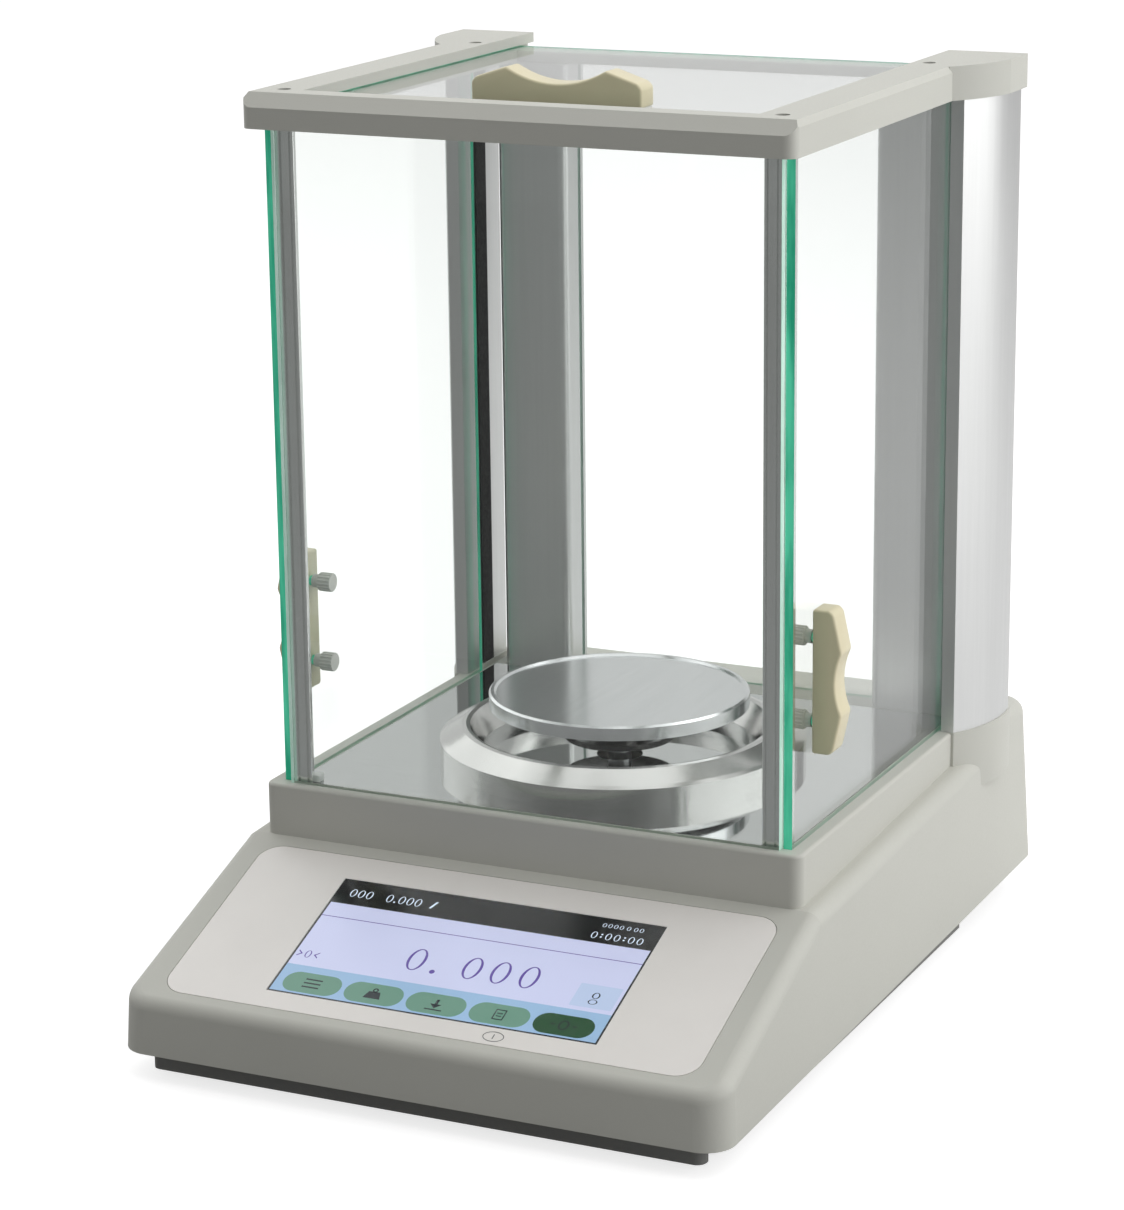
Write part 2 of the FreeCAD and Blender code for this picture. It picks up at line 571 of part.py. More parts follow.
def door_handle():
    face = "door_inner + glass - 0.1"
    middle = "(grip_low + grip_high) / 2"
    shape = [(face, "grip_low"), (f"{face} + 6.4", "grip_low"), (f"{face} + 7.6", "grip_low + 1.5"),
             (f"{face} + grip_out", f"{middle} - 10.3"), (f"{face} + grip_out", f"{middle} + 10.3"),
             (f"{face} + 7.6", "grip_high - 1.5"), (f"{face} + 6.4", "grip_high"),
             (face, "grip_high")]
    stock = slab("grip_stock", "xz", shape, "-grip_front", "-grip_rear")
    scallop = rod("grip_hollow", "grip_scallop", "y", ("-grip_front - 1", "-grip_rear + 1"),
                  (f"{face} + grip_waist + grip_scallop", middle))
    return cut("door_handle_right", stock, scallop)


def door_nuts():
    """Two knurled thumb nuts on studs that pass through the glass into the handle."""
    nuts = []
    for number, height in enumerate(("nut_low", "nut_high")):
        centre = ("-grip_front + 4", height)
        body = rod(f"nut_core_{number}", "nut_round", "x",
                   ("door_inner - nut_in", "door_inner - 2.4"), centre)
        collar = rod(f"nut_collar_{number}", "2.3", "x", ("door_inner - 3", "door_inner"), centre)
        stud = rod(f"nut_stud_{number}", "stud_round", "x",
                   ("door_inner - 1", "door_inner + glass - 0.1"), centre)
        ridges = []
        for turn in range(16):
            angle = math.tau * turn / 16
            ridges.append(rod(f"nut_ridge_{number}_{turn}", "0.3", "x",
                              ("door_inner - nut_in + 0.2", "door_inner - 2.6"),
                              (f"{centre[0]} + {math.cos(angle):.4f} * nut_round",
                               f"{centre[1]} + {math.sin(angle):.4f} * nut_round")))
        nuts.append(fused(f"nut_{number}", body, collar, stud, *ridges))
    return group("door_nuts_right", *nuts)


def lid():
    pane = block("lid_pane", ("-lid_half", "lid_half"), ("-lid_front", "lid_rear"),
                 ("lid_low", "lid_low + glass"))
    middle = "-(top_grip_front + top_grip_rear) / 2"
    sides = ("-top_grip_screw", "top_grip_screw")
    holes = [rod(f"lid_hole_{number}", "1.7", "z", ("lid_low - 1", "lid_low + glass + 1"),
                 (side, middle)) for number, side in enumerate(sides)]
    glass = cut("door_glass_top", pane, *holes)
    floor = "lid_low + glass"
    shape = [("-top_grip_half", floor), ("top_grip_half", floor),
             ("top_grip_half", f"{floor} + 6.4"), ("top_grip_half - 1.6", f"{floor} + 7.9"),
             ("top_grip_crest", f"{floor} + top_grip_high"),
             ("-top_grip_crest", f"{floor} + top_grip_high"),
             ("-top_grip_half + 1.6", f"{floor} + 7.9"), ("-top_grip_half", f"{floor} + 6.4")]
    stock = slab("top_grip_stock", "xz", shape, "-top_grip_front", "-top_grip_rear")
    scallop = rod("top_grip_hollow", "top_grip_scallop", "y",
                  ("-top_grip_front - 1", "-top_grip_rear + 1"),
                  ("0", f"{floor} + top_grip_waist + top_grip_scallop"))
    bores = [rod(f"top_grip_bore_{number}", "1.5", "z", ("lid_low", f"{floor} + 5"),
                 (side, middle)) for number, side in enumerate(sides)]
    grip = softened("top_grip_soft", cut("top_grip_cut", stock, scallop), 0.9,
                    lambda edge: edge.BoundBox.ZMax > sheet.lid_low + sheet.glass + 1)
    handle = cut("door_handle_top", grip, *bores)
    screws = []
    for number, side in enumerate(sides):
        head = rod(f"lid_head_{number}", "3", "z", ("lid_low - 1.6", "lid_low"), (side, middle))
        shank = rod(f"lid_shank_{number}", "1.45", "z", ("lid_low - 1", f"{floor} + 4.8"),
                    (side, middle))
        slot = block(f"lid_slot_{number}", (f"{side} - 4", f"{side} + 4"),
                     (f"{middle} - 0.4", f"{middle} + 0.4"), ("lid_low - 2", "lid_low - 0.9"))
        screws.append(cut(f"lid_screw_{number}", fused(f"lid_bolt_{number}", head, shank), slot))
    return [glass, handle, group("top_handle_screws", *screws)]


# pan, ring and weigh cell

def pan():
    shape = [("0", "pan_top - 0.7"), ("pan_round - 2.6", "pan_top - 0.7"),
             ("pan_round - 1.8", "pan_top"), ("pan_round - 0.7", "pan_top"),
             ("pan_round", "pan_top - 0.7"), ("pan_round", "pan_skirt"),
             ("pan_round - sheet", "pan_skirt"), ("pan_round - sheet", "pan_top - 0.7 - sheet"),
             ("0", "pan_top - 0.7 - sheet")]
    return turned("pan", shape, ("0", "pan_centre"))


def pan_hub():
    shape = [("0", "spigot_top"), ("spigot_round + running", "spigot_top"),
             ("spigot_round + running", "hub_low"), ("hub_round", "hub_low"),
             ("hub_round", "hub_low + 2"), ("hub_round - 9", "hub_low + 5.5"),
             ("hub_round - 9", "pan_top - 0.7 - sheet"), ("0", "pan_top - 0.7 - sheet")]
    return turned("pan_hub", shape, ("0", "pan_centre"))


def draft_ring():
    shape = [("ring_bore", "plinth_top"), ("ring_round", "plinth_top"),
             ("ring_round", "ring_edge"), ("ring_round - 1.4", "ring_edge + 0.9"),
             ("ring_crest + 1.5", "ring_lip - 0.3"), ("ring_crest", "ring_lip"),
             ("ring_crest - 1.4", "ring_lip - 0.4"),
             ("ring_bore + 1", "plinth_top + 5"), ("ring_bore", "plinth_top + 3")]
    return turned("draft_ring", shape, ("0", "pan_centre"))


def carrier():
    frame = block("load_carrier", ("-carrier_half", "carrier_half"), ("carrier_front",
                  "carrier_rear"), ("carrier_low", "carrier_high"))
    shape = [("0", "carrier_high"), ("spigot_round + 2", "carrier_high"),
             ("spigot_round + 2", "carrier_high + 6"), ("spigot_round", "carrier_high + 8"),
             ("spigot_round", "spigot_top"), ("0", "spigot_top")]
    return [frame, turned("pan_spigot", shape, ("0", "pan_centre"))]


def guides():
    span = ("carrier_rear + 0.3", "tower_front - 0.3")
    upper = block("upper_guide", ("-guide_half", "guide_half"), span,
                  ("guide_high", "guide_high + guide_thick"))
    stock = block("lower_guide_stock", ("-guide_half", "guide_half"), span,
                  ("guide_low", "guide_low + guide_thick"))
    window = block("lower_guide_window", ("-lever_half - 4", "lever_half + 4"),
                   ("pivot - 6", "pivot + 26"), ("guide_low - 1", "guide_low + 3"))
    return [upper, cut("lower_guide", stock, window)]


def weigh_cell_base():
    floor = block("cell_plate", ("-cell_half", "cell_half"), ("cell_front", "cell_rear"),
                  ("cell_low", "cell_floor"))
    towers = [block(f"tower_{side}", x, ("tower_front", "tower_rear"), ("cell_floor - 1",
                    "tower_top"))
              for side, x in (("right", ("lever_half + 5", "22")), ("left", ("-22",
                              "-lever_half - 5")))]
    fulcrum = block("fulcrum", ("-lever_half", "lever_half"), ("pivot - 2", "pivot + 2"),
                    ("cell_floor - 1", "lever_low - 0.4"))
    sensor_post = block("sensor_post", ("-sensor_half", "sensor_half"),
                        ("sensor_front", "sensor_rear"), ("cell_floor - 1", "sensor_low"))
    holes = [rod(f"cell_hole_{number}", "2.2", "z", ("cell_low - 1", "cell_floor + 1"), place)
             for number, place in enumerate(cell_corners())]
    return cut("weigh_cell_base", fused("cell_whole", floor, *towers, fulcrum, sensor_post),
               *holes)


def cell_screws():
    screws = []
    for number, place in enumerate(cell_corners()):
        head = rod(f"cell_head_{number}", "3.5", "z", ("cell_floor", "cell_floor + 3"), place)
        shank = rod(f"cell_shank_{number}", "1.95", "z", ("tray_low + 1.5", "cell_floor + 1"),
                    place)
        socket = rod(f"cell_socket_{number}", "1.6", "z", ("cell_floor + 1.2", "cell_floor + 4"),
                     place)
        screws.append(cut(f"cell_screw_{number}", fused(f"cell_bolt_{number}", head, shank),
                          socket))
    return group("cell_screws", *screws)


def lever_group():
    arm = block("lever_arm", ("-lever_half", "lever_half"), ("carrier_rear + 0.4", "motor + 11"),
                ("lever_low", "lever_high"))
    vane = block("lever_vane", ("-0.6", "0.6"), ("motor + 10", "sensor_rear - 2"),
                 ("lever_low + 0.5", "lever_low + 4"))
    lever = fused("lever", arm, vane)
    centre = ("0", "motor")
    disc = rod("former_disc", "coil_round", "z", ("lever_low - 2.8", "lever_low"), centre)
    tube = cut("former_tube", rod("former_wall", "coil_round - 2", "z",
                                  ("lever_low - 15", "lever_low - 2"), centre),
               rod("former_bore", "coil_round - 2.8", "z", ("lever_low - 16",
                                                            "lever_low - 2.8"), centre))
    former = fused("coil_former", disc, tube)
    coil = cut("coil", rod("coil_outer", "coil_round", "z", ("lever_low - 14", "lever_low - 6"),
                           centre),
               rod("coil_bore", "coil_round - 2", "z", ("lever_low - 15", "lever_low - 5"),
                   centre))
    return [lever, former, coil]


def force_motor():
    centre = ("0", "motor")
    pot = cut("magnet_pot", rod("pot_outer", "motor_round", "z", ("cell_floor", "motor_top"),
                                centre),
              rod("pot_bore", "motor_round - 4", "z", ("cell_floor + 4", "motor_top + 1"),
                  centre))
    magnet = rod("magnet", "magnet_round", "z", ("cell_floor + 4", "motor_top - 5"), centre)
    return [pot, magnet]


def position_sensor():
    stock = block("sensor_stock", ("-sensor_half", "sensor_half"),
                  ("sensor_front", "sensor_rear"), ("sensor_low", "sensor_high"))
    slot = block("sensor_slot", ("-1.6", "1.6"), ("sensor_front - 1", "sensor_rear + 1"),
                 ("sensor_low + 4", "sensor_high + 1"))
    return cut("position_sensor", stock, slot)


# electronics, level and feet

# what stands on the main board: x from its inner edge, y from its front edge, height
CHIPS = [((4, 16), (10, 22), 3), ((21, 35), (7, 19), 2), ((5, 23), (40, 58), 2.5),
         ((27, 35), (40, 48), 8), ((27, 35), (54, 62), 8), ((5, 35), (74, 88), 12),
         ((7, 15), (96, 106), 4)]


def boards():
    main = block("main_board", ("board_inner", "board_outer"), ("-board_front", "board_rear"),
                 ("board_low", "board_high"))
    parts = [block(f"chip_{number}", [f"board_inner + {place}" for place in x],
                   [f"-board_front + {place}" for place in y],
                   ("board_high", f"board_high + {height}"))
             for number, (x, y, height) in enumerate(CHIPS)]
    ports = block("port_board", ("-port_outer - 6", "port_outer"), ("ports_front", "ports_rear"),
                  ("bay_roof + 1", "socket_high + 9"))
    jack_shell = block("jack_shell", ("jack_side - jack_half", "jack_side + jack_half"),
                       ("ports_rear", "base_half_long - 6"), ("socket_low", "socket_high"))
    centre = ("jack_side", "(socket_low + socket_high) / 2")
    jack_nose = rod("jack_nose", "jack_nose", "y", ("base_half_long - 7",
                    "base_half_long - recess"), centre)
    jack_bore = rod("jack_bore", "2.9", "y", ("base_half_long - 11", "base_half_long"), centre)
    jack_pin = rod("jack_pin", "1.05", "y", ("base_half_long - 12", "base_half_long - 2"), centre)
    jack = fused("power_jack", cut("jack_body", fused("jack_outside", jack_shell, jack_nose),
                                   jack_bore), jack_pin)
    port_shell = block("port_shell", ("-port_outer", "-port_inner"),
                       ("ports_rear", "base_half_long - recess"), ("socket_low", "socket_high"))
    port_mouth = block("port_mouth", ("-port_outer + 6", "-port_inner - 6"),
                       ("base_half_long - 6", "base_half_long + 1"),
                       ("socket_low + 2", "socket_high - 2"))
    port = cut("serial_port", port_shell, port_mouth)
    return [main, group("board_parts", *parts), ports, jack, port]


def level():
    centre = ("level_side", "level_back")
    cup = [("0", "hump - 9"), ("level_round", "hump - 9"), ("level_round", "hump"),
           ("level_round + 2", "hump"), ("level_round + 2", "hump + 0.9"),
           ("level_round - 1.6", "hump + 0.9"), ("level_round - 1.6", "hump - 7"),
           ("0", "hump - 7")]
    holder = turned("level_housing", cup, centre)
    vial = rod("level_vial", "level_round - 1.7", "z", ("hump - 7", "hump + 0.5"), centre)
    return [holder, vial]


def front_feet():
    shape = [("0", "0"), ("front_foot_round - 0.8", "0"), ("front_foot_round", "0.8"),
             ("front_foot_round", "tray_low"), ("3.9", "tray_low"),
             ("3.9", "tray_floor + 1"), ("0", "tray_floor + 1")]
    return group("front_feet",
                 turned("front_foot_one", shape, ("front_foot_side", "-front_foot_y")),
                 turned("front_foot_two", shape, ("-front_foot_side", "-front_foot_y")))


def levelling_foot():
    """A pad that stays still, a screw with a knurled wheel that turns in it, and a fixed bush."""
    centre = ("foot_side", "foot_back")
    pad = turned("foot_pad_right", [("0", "0"), ("foot_pad - 1", "0"), ("foot_pad", "1"),
                                    ("foot_pad", "2.2"), ("foot_screw + 3", "3.4"),
                                    ("foot_screw + running", "3.4"),
                                    ("foot_screw + running", "1.6"), ("0", "1.6")], centre)
    shape = [("0", "1.7"), ("foot_screw", "1.7"), ("foot_screw", "wheel_low"),
             ("foot_wheel", "wheel_low"), ("foot_wheel", "wheel_high"),
             ("foot_screw", "wheel_high"), ("foot_screw", "foot_screw_top"),
             ("0", "foot_screw_top")]
    core = turned("foot_core", shape, centre)
    notches = [rod(f"foot_notch_{turn}", "notch_round", "z", ("wheel_low - 1", "wheel_high + 1"), (
        f"foot_side + {math.cos(math.tau * turn / 20):.4f} * (foot_wheel + 0.3)",
        f"foot_back + {math.sin(math.tau * turn / 20):.4f} * (foot_wheel + 0.3)"))
               for turn in range(20)]
    screw = cut("foot_screw_right", core, *notches)
    bush = turned("foot_bush", [("foot_screw + running", "bay_roof - 2.5"),
                                ("7", "bay_roof - 2.5"),
                                ("7", "bay_roof"), ("9", "bay_roof"), ("9", "bay_roof + 2"),
                                ("foot_screw + running", "bay_roof + 2")], centre)
    return [pad, mirrored("foot_pad_left", pad), screw, mirrored("foot_screw_left", screw),
            group("foot_bushes", bush, mirrored("foot_bush_two", bush))]


def housing_screws():
    screws = []
    for number, (side, place, top) in enumerate(boss_places()):
        head = rod(f"housing_head_{number}", "3", "z", ("tray_low + 0.1", "tray_low + 1.4"),
                   (side, place))
        shank = rod(f"housing_shank_{number}", "1.45", "z", ("tray_low + 1", "16"), (side, place))
        cross = slab_slot(f"housing_cross_{number}", (side, place), ("tray_low", "tray_low + 0.9"))
        screws.append(cut(f"housing_screw_{number}", fused(f"housing_bolt_{number}", head, shank),
                          *cross))
    return group("housing_screws", *screws)


def build():
    right = [front_post(), inner_column(), outer_column(), column_seal(), door_glass(),
             door_handle(), door_nuts()]
    left = [mirrored(piece.Name.replace("_right", "_left"), piece) for piece in right]
    single = [upper_housing(), bottom_tray(), front_skid(), panel_overlay(), ribbon(),
              floor_plate(), top_frame(), frame_screws(), pan(), pan_hub(), draft_ring(),
              weigh_cell_base(), cell_screws(), position_sensor(), front_feet(),
              housing_screws()]
    several = [display_stack(), panes(), lid(), carrier(), guides(), lever_group(),
               force_motor(), boards(), level(), levelling_foot()]
    return right + left + single + [piece for made in several for piece in made]


def check(parts):
    doc.recompute()
    faults = [item.Name for item in doc.Objects
              if "Invalid" in item.State or "Error" in item.State]
    faults += [part.Label for part in parts if part.Shape.isNull() or not part.Shape.isValid()]
    if faults:
        raise RuntimeError(f"failed objects: {faults}")


parts = build()
check(parts)
os.makedirs("parts", exist_ok=True)
for part in parts:
    part.Label = part.Name
    part.Shape.exportStep(f"parts/{part.Label}.step")
print(len(parts), "sub-parts")
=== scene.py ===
import json
import math

import bmesh
import bpy
from mathutils import Matrix, Vector


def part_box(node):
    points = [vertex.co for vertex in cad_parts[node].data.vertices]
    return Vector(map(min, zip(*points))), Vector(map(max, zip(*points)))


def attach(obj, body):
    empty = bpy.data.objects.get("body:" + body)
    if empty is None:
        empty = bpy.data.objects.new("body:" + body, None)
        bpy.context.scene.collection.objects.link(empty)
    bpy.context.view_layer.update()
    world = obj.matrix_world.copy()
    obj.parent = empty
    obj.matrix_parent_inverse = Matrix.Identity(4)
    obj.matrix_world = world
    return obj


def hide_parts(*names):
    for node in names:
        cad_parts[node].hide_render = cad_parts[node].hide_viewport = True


# Looks of the analytical balance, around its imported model. Metres, +Z up, the front faces -Y.

bpy.ops.wm.read_factory_settings(use_empty=True)
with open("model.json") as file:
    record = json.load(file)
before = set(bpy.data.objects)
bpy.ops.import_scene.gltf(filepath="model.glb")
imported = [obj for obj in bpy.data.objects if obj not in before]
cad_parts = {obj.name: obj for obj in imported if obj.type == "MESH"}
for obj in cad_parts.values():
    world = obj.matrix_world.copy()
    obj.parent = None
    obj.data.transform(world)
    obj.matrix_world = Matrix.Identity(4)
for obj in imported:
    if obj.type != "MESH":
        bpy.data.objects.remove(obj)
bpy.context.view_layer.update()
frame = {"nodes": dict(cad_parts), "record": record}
NODES = frame["nodes"]
MM = 0.001
BACKLIT = 0.5  # the share of a lit colour that comes from the surface itself
AIR = 0.15 * MM  # the film of air between a side handle and its glass
BACKDROP = 1.1  # strength of the white backdrop, seen directly or through glass
CAMERA = {"turn": 25.346, "rise": 15.340, "tilt": -0.671, "lens": 109.76,
          "place": (0.5040, -1.0974, 0.4636)}
FLOOR_HALF = 6.0
FLOOR_FRONT, FLOOR_REAR = (0.27, 0.27, 0.27), (0.8, 0.8, 0.8)  # its painted shade in reflections, grey in front and pale behind


# shader building blocks

class Shader:
    """A node material with one principled shader, and helpers that add to it."""

    def __init__(self, name, color=(0.8, 0.8, 0.8), rough=0.5, metal=0.0, **sockets):
        self.material = bpy.data.materials.new(name)
        self.material.use_nodes = True
        self.tree = self.material.node_tree
        self.tree.nodes.clear()
        self.out = self.tree.nodes.new("ShaderNodeOutputMaterial")
        self.bsdf = self.add("ShaderNodeBsdfPrincipled")
        self.set(self.bsdf, "Base Color", (*color, 1))
        self.set(self.bsdf, "Roughness", rough)
        self.set(self.bsdf, "Metallic", metal)
        for socket, value in sockets.items():
            self.set(self.bsdf, socket.replace("_", " "), value)
        self.link(self.bsdf.outputs[0], self.out.inputs["Surface"])
        self.place = self.add("ShaderNodeTexCoord").outputs["Object"]
        self.color, self.rough = color, rough

    def add(self, kind):
        return self.tree.nodes.new(kind)

    def set(self, node, socket, value):
        node.inputs[socket].default_value = value

    def link(self, source, target):
        self.tree.links.new(source, target)

    def stretched(self, scale):
        mapping = self.add("ShaderNodeMapping")
        self.set(mapping, "Scale", scale)
        self.link(self.place, mapping.inputs["Vector"])
        return mapping.outputs[0]

    def noise(self, scale, detail=4.0, stretch=None):
        node = self.add("ShaderNodeTexNoise")
        self.set(node, "Scale", scale)
        self.set(node, "Detail", detail)
        self.link(self.stretched(stretch) if stretch else self.place, node.inputs["Vector"])
        return node.outputs["Fac"]

    def ramp(self, source, low, high, start=0.35, end=0.65):
        """A value between low and high as the source goes from start to end."""
        node = self.add("ShaderNodeMapRange")
        for socket, value in zip(("From Min", "From Max", "To Min", "To Max"),
                                 (start, end, low, high)):
            self.set(node, socket, value)
        self.link(source, node.inputs["Value"])
        return node.outputs[0]

    def blend(self, factor, first, second):
        """A colour between two others."""
        node = self.add("ShaderNodeMix")
        node.data_type = "RGBA"
        self.link(factor, node.inputs[0])
        for socket, value in ((6, first), (7, second)):
            if isinstance(value, tuple):
                node.inputs[socket].default_value = (*value, 1)
            else:
                self.link(value, node.inputs[socket])
        return node.outputs[2]

    def tinted(self, factor, spread):
        """Base colour that drifts a little lighter and darker."""
        light = tuple(min(1, part * (1 + spread)) for part in self.color)
        dark = tuple(part * (1 - spread) for part in self.color)
        shade = self.blend(factor, dark, light)
        self.link(shade, self.bsdf.inputs["Base Color"])
        return shade

    def roughened(self, factor, spread):
        self.link(self.ramp(factor, max(0.01, self.rough - spread), self.rough + spread),
                  self.bsdf.inputs["Roughness"])

    def bump(self, height, strength, distance):
        node = self.add("ShaderNodeBump")
        self.set(node, "Strength", strength)
        self.set(node, "Distance", distance)
        self.link(height, node.inputs["Height"])
        self.link(node.outputs[0], self.bsdf.inputs["Normal"])


def moulded_plastic(name, color, rough=0.5, grain=1500, depth=0.00006):
    """Spark-eroded texture with a faint drift of colour and polish."""
    shader = Shader(name, color, rough, Specular_IOR_Level=0.4)
    fine = shader.noise(grain, 2)
    broad = shader.noise(14, 3)
    shader.tinted(broad, 0.035)
    shader.roughened(fine, 0.08)
    shader.bump(fine, 0.35, depth)
    return shader.material


def smooth_plastic(name, color, rough=0.3):
    shader = Shader(name, color, rough, Coat_Weight=0.15, Coat_Roughness=0.2)
    shader.tinted(shader.noise(40, 4), 0.04)
    fine = shader.noise(700, 3)
    shader.roughened(fine, 0.07)
    shader.bump(fine, 0.12, 0.00003)
    return shader.material


def drawn_metal(name, color, rough, stretch, grain=350, depth=0.00002, spread=0.06):
    """Metal with its grain along one direction: drawn, brushed or extruded."""
    shader = Shader(name, color, rough, 1.0)
    lines = shader.noise(grain, 5, stretch)
    smudge = shader.noise(18, 3)
    shader.tinted(lines, 0.05)
    shader.link(shader.ramp(smudge, max(0.02, rough - spread / 2), rough + spread),
                shader.bsdf.inputs["Roughness"])
    shader.bump(lines, 0.25, depth)
    return shader.material


def turned_metal(name, color, rough, centre, pitch=2600):
    """Metal with fine rings about a vertical axis, as a lathe leaves it."""
    shader = Shader(name, color, rough, 1.0)
    last = shader.place
    for operation, value in (("SUBTRACT", centre), ("MULTIPLY", (1, 1, 0)), ("LENGTH", None)):
        radius = shader.add("ShaderNodeVectorMath")
        radius.operation = operation
        shader.link(last, radius.inputs[0])
        if value:
            radius.inputs[1].default_value = value
        last = radius.outputs[0]
    rings = shader.add("ShaderNodeTexNoise")
    rings.noise_dimensions = "1D"
    shader.set(rings, "Scale", pitch)
    shader.set(rings, "Detail", 3)
    shader.link(radius.outputs["Value"], rings.inputs["W"])
    smudge = shader.noise(25, 3)
    shader.tinted(smudge, 0.03)
    shader.link(shader.ramp(smudge, max(0.02, rough * 0.7), rough * 1.4),
                shader.bsdf.inputs["Roughness"])
    shader.bump(rings.outputs["Fac"], 0.12, 0.00001)
    return shader.material


def rubber(name, color):
    shader = Shader(name, color, 0.75, Specular_IOR_Level=0.3)
    fine = shader.noise(900, 4)
    shader.tinted(shader.noise(60, 3), 0.12)
    shader.roughened(fine, 0.1)
    shader.bump(fine, 0.3, 0.00005)
    return shader.material


def circuit_board(name):
    """Green solder mask with tracks."""
    shader = Shader(name, (0.02, 0.16, 0.07), 0.35, Coat_Weight=0.3)
    tracks = shader.add("ShaderNodeTexBrick")
    for socket, value in (("Scale", 160), ("Mortar Size", 0.06), ("Brick Width", 1.6)):
        shader.set(tracks, socket, value)
    shader.link(shader.place, tracks.inputs["Vector"])
    shade = shader.blend(tracks.outputs["Fac"], (0.015, 0.13, 0.06), (0.03, 0.24, 0.10))
    shader.link(shade, shader.bsdf.inputs["Base Color"])
    shader.roughened(shader.noise(300, 3), 0.05)
    return shader.material


def clear_glass(name, thin_axis, dark=(0.012, 0.26, 0.15), light=(0.07, 0.48, 0.30), glow=0.55):
    """Float glass: clear through its faces, with the given shades and a painted glow where its cut
    edges show.
    """
    shader = Shader(name, (0.985, 1.0, 0.99), 0.0, 0.0, IOR=1.42, Transmission_Weight=1.0)
    smear = shader.noise(9, 5)
    shader.link(shader.ramp(smear, 0.0, 0.012), shader.bsdf.inputs["Roughness"])
    clear = shader.add("ShaderNodeBsdfTransparent")
    shader.set(clear, "Color", (0.93, 0.97, 0.955, 1))
    shadow = shader.add("ShaderNodeLightPath").outputs["Is Shadow Ray"]
    face = shader.add("ShaderNodeMixShader")
    shader.link(shadow, face.inputs[0])
    shader.link(shader.bsdf.outputs[0], face.inputs[1])
    shader.link(clear.outputs[0], face.inputs[2])
    edge = shader.add("ShaderNodeBsdfPrincipled")
    streaks = shader.noise(260, 4, (1, 1, 0.12))
    shade = shader.blend(shader.ramp(streaks, 0, 1), dark, light)
    shader.link(shade, edge.inputs["Base Color"])
    shader.set(edge, "Roughness", 0.12)
    # the cut edges glow as painted light; the glass is no lamp
    shader.set(edge, "Emission Strength", glow)
    shader.link(shade, edge.inputs["Emission Color"])
    parts = shader.add("ShaderNodeSeparateXYZ")
    shader.link(shader.add("ShaderNodeNewGeometry").outputs["True Normal"], parts.inputs[0])
    size = shader.add("ShaderNodeMath")
    size.operation = "ABSOLUTE"
    shader.link(parts.outputs["XYZ".index(thin_axis)], size.inputs[0])
    on_edge = shader.add("ShaderNodeMath")
    on_edge.operation = "LESS_THAN"
    shader.link(size.outputs[0], on_edge.inputs[0])
    on_edge.inputs[1].default_value = 0.5
    whole = shader.add("ShaderNodeMixShader")
    shader.link(on_edge.outputs[0], whole.inputs[0])
    shader.link(face.outputs[0], whole.inputs[1])
    shader.link(edge.outputs[0], whole.inputs[2])
    shader.link(whole.outputs[0], shader.out.inputs["Surface"])
    return shader.material


def lit(name, color, strength, rough=0.25):
    """A lit area of the screen, with the faint grid of its dots."""
    shader = Shader(name, color, rough, Specular_IOR_Level=0.5)
    dots = shader.add("ShaderNodeTexChecker")
    shader.set(dots, "Scale", 4000)
    shader.link(shader.place, dots.inputs["Vector"])
    glow = shader.noise(22, 2)
    own = tuple(part * BACKLIT for part in color)
    light = tuple(part * 1.04 for part in own)
    dim = tuple(part * 0.92 for part in own)
    shade = shader.blend(shader.ramp(glow, 0, 1, 0.3, 0.7), dim, light)
    dotted = shader.blend(dots.outputs["Fac"], shade, tuple(part * 0.93 for part in own))
    shader.link(dotted, shader.bsdf.inputs["Base Color"])
    shader.link(dotted, shader.bsdf.inputs["Emission Color"])
    shader.set(shader.bsdf, "Emission Strength", strength)
    return shader.material


